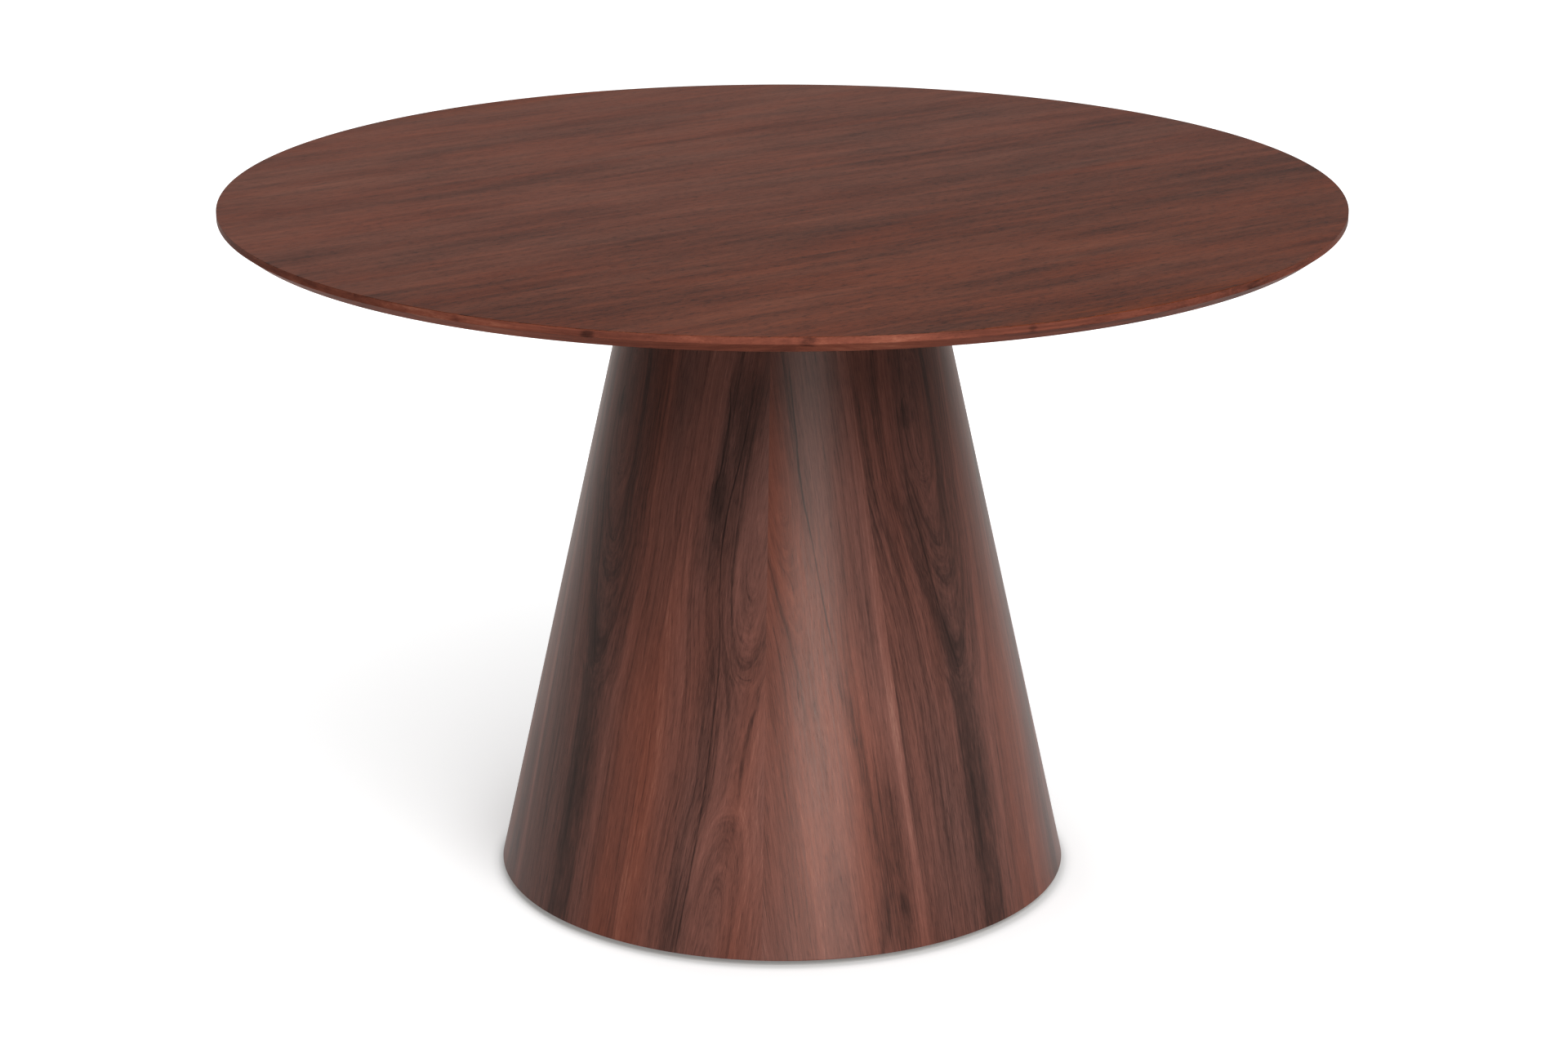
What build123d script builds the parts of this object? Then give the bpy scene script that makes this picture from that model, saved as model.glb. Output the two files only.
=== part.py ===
from build123d import *

import os
from math import atan, cos, radians, sin

# Round pedestal table: a veneered top with an undercut rim, bolted to a hollow cone on levelling feet.
# Millimetres. +Z is up, the origin is on the floor under the middle of the top, and the front faces -Y.
# An azimuth is in degrees about +Z: 0 is the front and 90 the right-hand side.

# Whole table
table_height = 760.0
floor_gap = 6.5

# Top: a core board between two veneers, with a solid wood lipping round it
top_diameter = 1200.0
top_thickness = 18.0
veneer_thickness = 0.6
rim_face_height = 7.5
rim_undercut = 14.3
rim_easing = 0.3
lipping_width = 22.0
lipping_count = 8
lipping_joint_azimuth = 1.5

# Stiffening disc under the top, and the wood screws that hold it there
disc_diameter = 600.0
disc_thickness = 18.0
disc_bevel = 10.0
disc_screw_count = 12
disc_screw_inset = 35.0
screw_diameter = 4.0
screw_head_diameter = 8.0
screw_length = 30.0
screw_point = 5.0

# Bolts, washers and flanged nuts between the disc and the pedestal's head plate
bolt_count = 6
bolt_diameter = 8.0
bolt_length = 40.0
bolt_hole_play = 1.0
bolt_margin = 6.0
bolt_head_diameter = 14.0
bolt_head_height = 4.4
bolt_head_easing = 1.5
bolt_socket_width = 5.0
bolt_socket_depth = 2.6
washer_diameter = 24.0
washer_thickness = 2.0
nut_flange_diameter = 22.0
nut_flange_thickness = 1.6
nut_barrel_diameter = 11.0
nut_barrel_length = 13.0

# Pedestal: four bent quarter shells, each faced with one sheet of veneer, over a frame of rings and battens
pedestal_foot_diameter = 627.0
pedestal_head_diameter = 309.0
quarter_count = 4
seam_azimuth = -4.0
shell_thickness = 12.0
head_plate_thickness = 25.0
base_ring_thickness = 25.0
hand_hole_diameter = 410.0
hand_hole_rounding = 4.0
former_count = 2
former_thickness = 18.0
former_width = 45.0
batten_width = 45.0
batten_depth = 22.0
batten_play = 0.25

# Levelling feet: a stem that screws up and down in a flanged nut, and a pad that the stem turns in
foot_count = 6
first_foot_azimuth = 0.0
stem_diameter = 8.0
stem_play = 0.1
stem_length = 36.0
stem_slot_width = 1.6
stem_slot_depth = 2.0
stem_disc_diameter = 13.0
stem_disc_thickness = 1.6
foot_nut_barrel_length = 17.0
pad_diameter = 40.0
pad_height = 5.0
pad_edge_height = 3.0
pad_chamfer = 0.8
pad_floor = 2.0
socket_play = 0.3
socket_mouth_diameter = 9.4

# Heights and radii that follow from those sizes
top_radius = top_diameter / 2
core_radius = top_radius - lipping_width
top_underside = table_height - top_thickness
core_low = top_underside + veneer_thickness
core_high = table_height - veneer_thickness
head_height = top_underside - disc_thickness
head_plate_low = head_height - head_plate_thickness
base_ring_high = floor_gap + base_ring_thickness
foot_radius = pedestal_foot_diameter / 2
head_radius = pedestal_head_diameter / 2
cone_lean = atan((foot_radius - head_radius) / (head_height - floor_gap))
wall = veneer_thickness + shell_thickness
quarter_arc = 360 / quarter_count
seam_azimuths = [seam_azimuth + quarter_arc * k for k in range(quarter_count)]
screw_radius = screw_diameter / 2
screw_head_radius = screw_head_diameter / 2
screw_circle = disc_diameter / 2 - disc_bevel - disc_screw_inset


def cone_radius(height, depth=0.0):
    """Radius of the pedestal at a height, a depth below its outer surface, measured square to it."""
    climb = (height - floor_gap) / (head_height - floor_gap)
    return foot_radius - (foot_radius - head_radius) * climb - depth / cos(cone_lean)


bolt_circle = cone_radius(head_plate_low, wall + batten_depth) - washer_diameter / 2 - bolt_margin
foot_circle = (hand_hole_diameter / 2 + cone_radius(base_ring_high, wall)) / 2


def outwards(azimuth):
    """Level unit vector that points away from the table's axis."""
    return Vector(sin(radians(azimuth)), -cos(radians(azimuth)), 0)


def section_plane(azimuth):
    """Upright plane through the axis: its local x is the radius and its local y the height."""
    away = outwards(azimuth)
    return Plane(origin=(0, 0, 0), x_dir=away, z_dir=away.cross(Vector(0, 0, 1)))


def outline(*points):
    """Fills a straight-sided outline in the sketch that is open."""
    with BuildLine() as edge:
        Polyline(*points, close=True)
    make_face(edge.edges())


def cone_layer(low, high, outer_depth, inner_depth):
    """Section of one layer of the pedestal's wall, in the sketch that is open."""
    outline(
        (cone_radius(low, outer_depth), low),
        (cone_radius(high, outer_depth), high),
        (cone_radius(high, inner_depth), high),
        (cone_radius(low, inner_depth), low),
    )


def cone_ring(low, high, hole_radius):
    """Section of a level ring or plate that fits inside the pedestal's wall, in the sketch that is open."""
    outline(
        (cone_radius(low, wall), low),
        (cone_radius(high, wall), high),
        (hole_radius, high),
        (hole_radius, low),
    )


def batten_bar(azimuth, play, mode):
    """Straight bar that follows the wall behind a seam, joined to or cut from the part that is open."""
    with BuildSketch(section_plane(azimuth)) as bar:
        cone_layer(base_ring_high, head_plate_low, veneer_thickness, wall + batten_depth + play)
    extrude(bar.sketch, amount=batten_width / 2 + play, both=True, mode=mode)


def flanged_nut(seat, barrel_length, bore_diameter, stands):
    """Flanged nut at each current place: it stands on its seat with Align.MIN and hangs with Align.MAX."""
    upright = (Align.CENTER, Align.CENTER, stands)
    with Locations((0, 0, seat)):
        Cylinder(nut_flange_diameter / 2, nut_flange_thickness, align=upright)
        Cylinder(nut_barrel_diameter / 2, nut_flange_thickness + barrel_length, align=upright)
        Hole(bore_diameter / 2)


def flanged_nut_hole(seat, barrel_length, stands):
    """Stepped hole that such a nut fills, cut from the part that is open."""
    upright = (Align.CENTER, Align.CENTER, stands)
    with Locations((0, 0, seat)):
        Cylinder(nut_flange_diameter / 2, nut_flange_thickness, align=upright, mode=Mode.SUBTRACT)
        reach = nut_flange_thickness + barrel_length
        Cylinder(nut_barrel_diameter / 2, reach, align=upright, mode=Mode.SUBTRACT)


def save(piece, name):
    """Labels a finished piece and writes its STEP file."""
    piece.label = name
    export_step(piece, f"parts/{name}.step")


os.makedirs("parts", exist_ok=True)

# Core board of the top, with blind pilot holes for the disc's screws
screw_bite = screw_length - disc_thickness - veneer_thickness
with BuildPart() as top_panel:
    with BuildSketch(Plane.XY.offset(core_low)):
        Circle(core_radius)
    extrude(amount=core_high - core_low)
    with BuildSketch(Plane.XY.offset(core_low)):
        with PolarLocations(screw_circle, disc_screw_count):
            Circle(screw_radius)
    extrude(amount=screw_bite, mode=Mode.SUBTRACT)
save(top_panel.part, "top_panel")

# Face veneer, which runs over the lipping and has an eased corner
with BuildPart() as face_veneer:
    with BuildSketch(Plane.XY.offset(core_high)):
        Circle(top_radius)
    extrude(amount=veneer_thickness)
    rim_edge = face_veneer.edges().filter_by(GeomType.CIRCLE).sort_by(Axis.Z)[-1]
    fillet(rim_edge, radius=min(rim_easing, veneer_thickness / 2))
save(face_veneer.part, "face_veneer")

# Backing veneer, which stops at the lipping
with BuildPart() as backing_veneer:
    with BuildSketch(Plane.XY.offset(top_underside)):
        Circle(core_radius)
        with PolarLocations(screw_circle, disc_screw_count):
            Circle(screw_radius, mode=Mode.SUBTRACT)
    extrude(amount=veneer_thickness)
save(backing_veneer.part, "backing_veneer")

# Lipping: arcs of solid wood with an upright face above and an undercut bevel below
lipping_arc = 360 / lipping_count
for number in range(lipping_count):
    joint = section_plane(lipping_joint_azimuth + lipping_arc * number)
    with BuildPart() as lipping:
        with BuildSketch(joint):
            outline(
                (core_radius, top_underside),
                (top_radius - rim_undercut, top_underside),
                (top_radius, table_height - rim_face_height),
                (top_radius, core_high),
                (core_radius, core_high),
            )
        revolve(axis=Axis.Z, revolution_arc=lipping_arc)
    save(lipping.part, f"edge_lipping_{number + 1}")

# Stiffening disc, screwed under the top, with seats for the nuts that take the pedestal's bolts
with BuildPart() as stiffening_disc:
    with BuildSketch(Plane.XY.offset(head_height)):
        Circle(disc_diameter / 2)
    extrude(amount=disc_thickness)
    low_edge = stiffening_disc.edges().filter_by(GeomType.CIRCLE).sort_by(Axis.Z)[0]
    chamfer(low_edge, length=disc_bevel)
    with PolarLocations(bolt_circle, bolt_count):
        flanged_nut_hole(top_underside, nut_barrel_length, stands=Align.MAX)
        with Locations((0, 0, head_height)):
            Hole((bolt_diameter + bolt_hole_play) / 2)
    underside = Plane(origin=(0, 0, head_height), x_dir=(1, 0, 0), z_dir=(0, 0, -1))
    with Locations(underside):
        with PolarLocations(screw_circle, disc_screw_count):
            CounterSinkHole(screw_radius, screw_head_radius, counter_sink_angle=90)
save(stiffening_disc.part, "stiffening_disc")

# Wood screws through the disc into the core board
with BuildPart() as one_screw:
    with BuildSketch(section_plane(0)):
        outline(
            (0, head_height),
            (screw_head_radius, head_height),
            (screw_radius, head_height + screw_head_radius - screw_radius),
            (screw_radius, head_height + screw_length - screw_point),
            (0, head_height + screw_length),
        )
    revolve(axis=Axis.Z)
with BuildPart() as disc_screws:
    with PolarLocations(screw_circle, disc_screw_count):
        add(one_screw.part)
save(disc_screws.part, "disc_screws")

# Flanged nuts, their flanges caught between the disc and the top
with BuildPart() as top_nuts:
    with PolarLocations(bolt_circle, bolt_count):
        flanged_nut(top_underside, nut_barrel_length, bolt_diameter, stands=Align.MAX)
save(top_nuts.part, "top_nuts")

# Washers and button-head bolts, put in from inside the pedestal
bolt_seat = head_plate_low - washer_thickness
with BuildPart() as bolt_washers:
    with BuildSketch(Plane.XY.offset(bolt_seat)):
        with PolarLocations(bolt_circle, bolt_count):
            Circle(washer_diameter / 2)
            Circle((bolt_diameter + bolt_hole_play) / 2, mode=Mode.SUBTRACT)
    extrude(amount=washer_thickness)
save(bolt_washers.part, "bolt_washers")

with BuildPart() as top_bolts:
    with BuildSketch(Plane.XY.offset(bolt_seat)):
        with PolarLocations(bolt_circle, bolt_count):
            Circle(bolt_diameter / 2)
    extrude(amount=bolt_length)
    with BuildSketch(Plane.XY.offset(bolt_seat - bolt_head_height)):
        with PolarLocations(bolt_circle, bolt_count):
            Circle(bolt_head_diameter / 2)
    extrude(amount=bolt_head_height)
    head_rims = top_bolts.edges().filter_by(GeomType.CIRCLE).group_by(Axis.Z)[0]
    fillet(head_rims, radius=bolt_head_easing)
    with BuildSketch(Plane.XY.offset(bolt_seat - bolt_head_height)):
        with PolarLocations(bolt_circle, bolt_count):
            RegularPolygon(bolt_socket_width / 2, side_count=6, major_radius=False)
    extrude(amount=bolt_socket_depth, mode=Mode.SUBTRACT)
save(top_bolts.part, "top_bolts")

# Head plate that closes the pedestal and takes the bolts
with BuildPart() as head_plate:
    with BuildSketch(section_plane(0)):
        cone_ring(head_plate_low, head_height, 0)
    revolve(axis=Axis.Z)
    with Locations((0, 0, head_height)):
        with PolarLocations(bolt_circle, bolt_count):
            Hole((bolt_diameter + bolt_hole_play) / 2)
save(head_plate.part, "head_plate")

# Base ring with a hand hole, and seats on its underside for the feet's nuts
with BuildPart() as base_ring:
    with BuildSketch(section_plane(0)):
        cone_ring(floor_gap, base_ring_high, hand_hole_diameter / 2)
    revolve(axis=Axis.Z)
    hole_edges = base_ring.edges().filter_by(GeomType.CIRCLE).group_by(SortBy.RADIUS)[0]
    fillet(hole_edges, radius=hand_hole_rounding)
    with PolarLocations(foot_circle, foot_count, start_angle=first_foot_azimuth - 90):
        flanged_nut_hole(floor_gap, foot_nut_barrel_length, stands=Align.MIN)
        with Locations((0, 0, base_ring_high)):
            Hole(stem_diameter / 2 + stem_play)
save(base_ring.part, "base_ring")

# Formers: rings inside the wall, spaced evenly and notched for the battens
former_pitch = (head_plate_low - base_ring_high) / (former_count + 1)
for number in range(former_count):
    former_low = base_ring_high + former_pitch * (number + 1) - former_thickness / 2
    former_high = former_low + former_thickness
    with BuildPart() as former:
        with BuildSketch(section_plane(0)):
            cone_ring(former_low, former_high, cone_radius(former_high, wall) - former_width)
        revolve(axis=Axis.Z)
        for seam in seam_azimuths:
            batten_bar(seam, batten_play, Mode.SUBTRACT)
    save(former.part, f"former_{number + 1}")

# Battens behind the seams, with their outer faces rounded to the wall
for number, seam in enumerate(seam_azimuths):
    with BuildPart() as batten:
        batten_bar(seam, 0, Mode.ADD)
        with BuildSketch(section_plane(0)):
            cone_ring(base_ring_high, head_plate_low, 0)
        revolve(axis=Axis.Z, mode=Mode.INTERSECT)
    save(batten.part, f"seam_batten_{number + 1}")

# Quarter shells and the veneer sheet on each
for number, seam in enumerate(seam_azimuths):
    with BuildPart() as shell_quarter:
        with BuildSketch(section_plane(seam)):
            cone_layer(floor_gap, head_height, veneer_thickness, wall)
        revolve(axis=Axis.Z, revolution_arc=quarter_arc)
    save(shell_quarter.part, f"shell_quarter_{number + 1}")
    with BuildPart() as shell_veneer:
        with BuildSketch(section_plane(seam)):
            cone_layer(floor_gap, head_height, 0, veneer_thickness)
        revolve(axis=Axis.Z, revolution_arc=quarter_arc)
    save(shell_veneer.part, f"shell_veneer_{number + 1}")

# Nuts for the feet, their flanges flush with the base ring's underside
with BuildPart() as foot_nuts:
    with PolarLocations(foot_circle, foot_count, start_angle=first_foot_azimuth - 90):
        flanged_nut(floor_gap, foot_nut_barrel_length, stem_diameter + 2 * stem_play, stands=Align.MIN)
save(foot_nuts.part, "foot_nuts")

# Feet: each stem ends in a disc that turns in the socket of its pad
stem_radius = stem_diameter / 2
stem_disc_radius = stem_disc_diameter / 2
stem_disc_high = pad_floor + stem_disc_thickness
stem_top = pad_floor + stem_length
socket_radius = stem_disc_radius + socket_play
socket_high = stem_disc_high + socket_play
pad_radius = pad_diameter / 2
pad_crown_radius = pad_radius - (pad_height - pad_edge_height)
for number in range(foot_count):
    place = outwards(first_foot_azimuth + 360 / foot_count * number) * foot_circle
    foot_section = Plane(origin=place, x_dir=(1, 0, 0), z_dir=(0, -1, 0))
    foot_axis = Axis(place, (0, 0, 1))

    with BuildPart() as foot_pad:
        with BuildSketch(foot_section):
            outline(
                (0, 0),
                (pad_radius - pad_chamfer, 0),
                (pad_radius, pad_chamfer),
                (pad_radius, pad_edge_height),
                (pad_crown_radius, pad_height),
                (socket_mouth_diameter / 2, pad_height),
                (socket_mouth_diameter / 2, socket_high),
                (socket_radius, socket_high),
                (socket_radius, pad_floor),
                (0, pad_floor),
            )
        revolve(axis=foot_axis)
    save(foot_pad.part, f"foot_pad_{number + 1}")

    with BuildPart() as foot_stem:
        with BuildSketch(foot_section):
            outline(
                (0, pad_floor),
                (stem_disc_radius, pad_floor),
                (stem_disc_radius, stem_disc_high),
                (stem_radius, stem_disc_high),
                (stem_radius, stem_top),
                (0, stem_top),
            )
        revolve(axis=foot_axis)
        with BuildSketch(Plane(origin=(place.X, place.Y, stem_top))):
            Rectangle(stem_diameter, stem_slot_width)
        extrude(amount=-stem_slot_depth, mode=Mode.SUBTRACT)
    save(foot_stem.part, f"foot_stem_{number + 1}")
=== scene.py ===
import math

import bmesh
import bpy
from bpy.props import FloatProperty, FloatVectorProperty, IntProperty, PointerProperty
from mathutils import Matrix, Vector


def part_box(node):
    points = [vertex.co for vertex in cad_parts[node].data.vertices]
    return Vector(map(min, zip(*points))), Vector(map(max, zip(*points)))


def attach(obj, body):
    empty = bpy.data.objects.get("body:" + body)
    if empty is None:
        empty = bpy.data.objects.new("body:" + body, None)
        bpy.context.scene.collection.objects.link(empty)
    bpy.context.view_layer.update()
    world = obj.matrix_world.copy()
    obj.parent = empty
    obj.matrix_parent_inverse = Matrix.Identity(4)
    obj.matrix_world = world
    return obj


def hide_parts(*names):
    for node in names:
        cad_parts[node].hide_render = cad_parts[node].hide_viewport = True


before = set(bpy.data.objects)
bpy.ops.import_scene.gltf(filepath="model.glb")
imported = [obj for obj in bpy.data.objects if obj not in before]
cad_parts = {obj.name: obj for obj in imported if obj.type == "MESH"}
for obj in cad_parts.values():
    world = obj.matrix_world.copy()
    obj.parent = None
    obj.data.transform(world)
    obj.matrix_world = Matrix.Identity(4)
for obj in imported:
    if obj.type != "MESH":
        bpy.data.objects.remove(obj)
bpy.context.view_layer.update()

bl_info = {
    "name": "Round Pedestal Table",
    "version": (1, 0, 0),
    "blender": (4, 5, 0),
    "location": "View3D > Sidebar > Pedestal Table",
    "description": "Dresses a round veneered table on a cone: turned pieces, wood, hardware and a studio",
    "category": "Object",
}

MM = 0.001
TABLE = "table"
LIPPINGS = [f"edge_lipping_{k}" for k in range(1, 9)]
SHEETS = [f"shell_veneer_{k}" for k in range(1, 5)]
FOOT_COUNT = 6


def srgb(red, green, blue):
    """Linear colour for a colour given in screen values from 0 to 255."""
    def straight(value):
        part = value / 255
        return part / 12.92 if part <= 0.04045 else ((part + 0.055) / 1.055) ** 2.4
    return straight(red), straight(green), straight(blue)


def corners(node):
    """Radius and height of each corner of a CAD node, in metres."""
    return [(math.hypot(v.co.x, v.co.y), v.co.z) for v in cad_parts[node].data.vertices]


def azimuth_range(node):
    """First azimuth and sweep of an arc-shaped CAD node, in radians from the front, turning to the right."""
    turns = [math.atan2(v.co.x, -v.co.y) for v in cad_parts[node].data.vertices]
    if max(turns) - min(turns) > math.pi:
        turns = [turn % math.tau for turn in turns]
    return min(turns), max(turns) - min(turns)


# Sizes of the rim and the cone, read from the frame; corners within NEAR count as level
NEAR = 0.05 * MM
RIM = corners(LIPPINGS[0])
RIM_RADIUS = max(r for r, z in RIM)
RIM_LOW = min(z for r, z in RIM)
RIM_HIGH = max(z for r, z in RIM)
CORE_RADIUS = min(r for r, z in RIM)
UNDERCUT_RADIUS = max(r for r, z in RIM if z < RIM_LOW + NEAR)
FACE_LOW = min(z for r, z in RIM if r > RIM_RADIUS - NEAR)
TOP_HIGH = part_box("face_veneer")[1].z
CONE = corners(SHEETS[0])
CONE_LOW = min(z for r, z in CONE)
CONE_HIGH = max(z for r, z in CONE)
FOOT_RADIUS = max(r for r, z in CONE if z < CONE_LOW + NEAR)
FOOT_INNER = min(r for r, z in CONE if z < CONE_LOW + NEAR)
HEAD_RADIUS = max(r for r, z in CONE if z > CONE_HIGH - NEAR)
HEAD_INNER = min(r for r, z in CONE if z > CONE_HIGH - NEAR)
LEAN = math.atan((FOOT_RADIUS - HEAD_RADIUS) / (CONE_HIGH - CONE_LOW))

# Making of meshes: points closer than MERGE are one, edges bent more than CREASE stay sharp,
# and a long stretch of a section has a point at HOLD from each end
MERGE = 1e-6
CREASE = math.radians(32)
HOLD = 1.0 * MM

# Screw thread: share of a pitch at which the root starts and ends and the crest starts and ends,
# and the turns that it has beyond its length, for its two ends
THREAD = [0.0, 0.25, 0.5625, 0.6875]
SPARE_TURNS = 2
STEM_PITCH = 1.25 * MM
STEM_DEPTH = 0.7 * MM
STEM_SLOT = (16 * MM, 1.6 * MM, 4 * MM)
STEM_STEPS = 32
SCREW_PITCH = 1.9 * MM
SCREW_DEPTH = 0.55 * MM
SCREW_CROSS = (4.6 * MM, 1.1 * MM, 3 * MM)
SCREW_STEPS = 24
SCREW_COUNT = 12
SCREW_SEED = 7

# A wood screw's shank is plain for a share of its length, and its point is as long as so many radii
SCREW_PLAIN_SHARE = 0.25
SCREW_POINT_RADII = 2.5

# Turns at which a slot is cut for the driver
SLOTTED = (0.0,)
CROSSED = (0.0, math.pi / 2)

# Figure of the cone's veneer, in millimetres on the flat sheet: x across a board, y up from the foot.
# axis, depth and rings shape the growth rings by height; tone, 0 for dark to 1 for light, goes across.
# A vein or a shade is a path of heights and places across, its width and its darkness; marks narrower
# than VEIN_WIDTH are broken up by the lines of the wood.
# A knot is its place, its half width and half height, and its darkness.
# Each sheet has the same boards, slid across by its own shift.
BOARD_WIDTH = 179.0
RING_SPACING = 4.6 * MM
VEIN_WIDTH = 10.0
SHEET_SHIFTS = [58.0, 20.0, 150.0, 105.0]
BOARDS = [
    {
        "name": "Front board",
        "rings": [(0, 0.07), (450, 0.06), (600, 0.03)],
        "axis": [(0, 80), (350, 84), (500, 86), (740, 90)],
        "depth": [(0, 22), (150, 26), (300, 26), (400, 20), (470, 12), (505, 8), (740, 5)],
        "tone": [(0, 0.58), (60, 0.57), (120, 0.55), (150, 0.52), (167, 0.53), (169, 0.66), (179, 0.66)],
        "veins": [
            ([(345, 117), (400, 114), (460, 112), (505, 110), (562, 113), (640, 117)], 0.9, 0.40),
            ([(6, 124), (123, 136), (174, 135), (236, 130), (294, 120)], 6.0, 0.20),
            ([(380, 82), (400, 85), (438, 74), (475, 71)], 1.0, 0.12),
            ([(299, 73), (315, 76)], 1.0, 0.26),
        ],
        "shades": [
            ([(0, 148), (190, 152)], 16.0, 0.20),
            ([(470, 108), (660, 110)], 18.0, 0.12),
        ],
        "knots": [(154, 50, 5, 12, 0.18)],
    },
    {
        "name": "Middle board",
        "rings": [(0, 0.04), (240, 0.06), (310, 0.13), (500, 0.12), (610, 0.04)],
        "axis": [(0, 92), (290, 93), (420, 86), (540, 77), (740, 80)],
        "depth": [(0, 50), (250, 50), (291, 45), (349, 40), (423, 25), (480, 17), (540, 4), (640, 16),
                  (740, 30)],
        "tone": [(0, 0.43), (36, 0.46), (62, 0.37), (93, 0.34), (115, 0.40), (142, 0.54), (165, 0.56),
                 (179, 0.55)],
        "veins": [
            ([(286, 88), (339, 75), (426, 60), (482, 51)], 1.1, 0.28),
            ([(500, 70), (530, 60), (564, 58), (580, 64)], 1.2, 0.20),
        ],
        "shades": [
            ([(0, 90), (120, 90), (290, 90)], 22.0, 0.12),
            ([(286, 84), (339, 68), (426, 52), (482, 44)], 13.0, 0.14),
        ],
        "knots": [(62, 560, 8, 12, 0.14)],
    },
    {
        "name": "Knotty board",
        "rings": [(0, 0.09), (180, 0.08), (300, 0.12), (430, 0.09), (580, 0.03)],
        "axis": [(0, 112), (150, 110), (316, 99), (440, 88), (600, 84)],
        "depth": [(0, 8), (76, 15), (153, 26), (200, 33), (280, 33), (316, 28), (392, 15), (440, 11),
                  (600, 8), (740, 12)],
        "tone": [(0, 0.69), (32, 0.64), (55, 0.56), (72, 0.51), (84, 0.55), (112, 0.57), (179, 0.60)],
        "veins": [
            ([(20, 77), (134, 79), (226, 76), (317, 69), (408, 54), (459, 49), (563, 53), (617, 53)],
             0.8, 0.30),
            ([(508, 32), (534, 34), (605, 28)], 0.8, 0.26),
            ([(192, 115), (231, 113), (283, 118)], 2.4, 0.32),
        ],
        "shades": [
            ([(0, 66), (134, 66), (226, 63), (317, 56), (408, 42), (511, 42), (617, 46)], 20.0, 0.18),
            ([(430, 40), (500, 42), (620, 52), (720, 54)], 24.0, 0.14),
            ([(190, 101), (310, 96)], 15.0, 0.10),
            ([(-30, 70), (70, 72)], 13.0, 0.11),
        ],
        "knots": [(32, 493, 9, 22, 0.16), (90, 430, 6, 24, 0.10)],
    },
]

# Veneer of the top: tones of its two faces, and the change of tone across the grain, in metres from the
# middle to the back left
FACE_TONE = 0.515
BACKING_TONE = 0.465
LEAF_TONES = [(-0.60, -0.09), (-0.49, -0.08), (-0.33, -0.035), (-0.20, -0.09), (-0.10, -0.015),
              (0.03, -0.01), (0.15, 0.04), (0.26, 0.045), (0.32, 0.085), (0.44, 0.075), (0.60, 0.10)]

# Tone of each arc of the lipping in the order of its nodes, and how far apart in the wood two arcs were cut
LIPPING_TONES = [0.55, 0.52, 0.54, 0.60, 0.56, 0.54, 0.65, 0.57]
LIPPING_STEP = (0.0, 1.7, 0.3)

# Marks on the rim: azimuth in degrees, height and size in millimetres, and the change of tone. The first,
# a broad pale patch at the front, is a painted highlight
RIM_MARKS_AND_HIGHLIGHT = [
    (8.5, 757, 55, 0.21), (47.0, 757, 60, -0.12), (-28.0, 755, 110, 0.17), (2.3, 756, 8, -0.22),
    (1.1, 757, 5, 0.16), (-17.6, 755, 5, -0.24), (23.0, 755, 4, -0.20), (-31.0, 754, 5, -0.16),
    (104.0, 755, 5, -0.26), (-122.0, 756, 6, -0.24), (171.0, 754, 5, -0.2),
]

# Shares of the settings for easing and gloss that some pieces take
CONE_EASING = 0.5
SCREW_EASING = 0.2
BACKING_GLOSS = 0.2

# Floor: half its side in metres, and by distance from the cone's foot in millimetres its grey, the glow
# that whitens it for the camera, and the glow that lights the underside. Grey and camera glow both fall
# towards the foot, which paints a contact shadow there
FLOOR_REACH = 30.0
FLOOR_GREY_AND_CONTACT_SHADE = (-5.0, 16.0, 0.45, 0.78)
FLOOR_GLOW_AND_SHADOW = [(-60, 0.0), (-16, 0.20), (0, 0.24), (4, 0.33), (9, 0.395), (15, 0.405), (30, 0.42),
              (60, 0.455), (100, 0.495), (150, 0.525), (220, 0.555), (300, 0.58), (400, 0.605),
              (520, 0.635), (700, 0.68), (1500, 1.0)]
UNDER_GLOW = (-65.0, -30.0, 0.5, 0.0)
WHITE = (1.0, 1.0, 1.0)
WARM_FLOOR = (1.0, 0.84, 0.74)

# Share of the white that reflections see in the floor and in the sky
MIRRORED_FLOOR = 0.4
MIRRORED_SKY = 0.3

# Lights, whose powers are settings: place and size in metres, and whether the light is only mirrored.
# They face the table's axis at the height of LIGHT_AIM.
LIGHTS = {
    "key": ((1.05, -2.75, 2.7), (2.2, 2.2), False),
    "fill": ((-1.6, 2.6, 2.9), (2.2, 2.2), False),
    "strip": ((0.98, -3.39, 0.52), (1.5, 0.22), True),
}
LIGHT_AIM = 0.4
SENSOR = 36.0

# Range that most of a noise keeps within
USUAL = (0.3, 0.7)


def sign(operation):
    """Method that writes a math node for a sign in a sum."""
    return lambda self, *others: self.graph.math(operation, self, *others)


class Wire:
    """Output of a node, which can stand in a sum like a number."""

    def __init__(self, graph, socket):
        self.graph = graph
        self.socket = socket

    __add__ = sign("ADD")
    __sub__ = sign("SUBTRACT")
    __mul__ = sign("MULTIPLY")
    __truediv__ = sign("DIVIDE")
    __mod__ = sign("MODULO")
    __gt__ = sign("GREATER_THAN")
    __abs__ = sign("ABSOLUTE")
    __floor__ = sign("FLOOR")
    __round__ = sign("ROUND")
    sine = sign("SINE")
    cosine = sign("COSINE")


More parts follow.
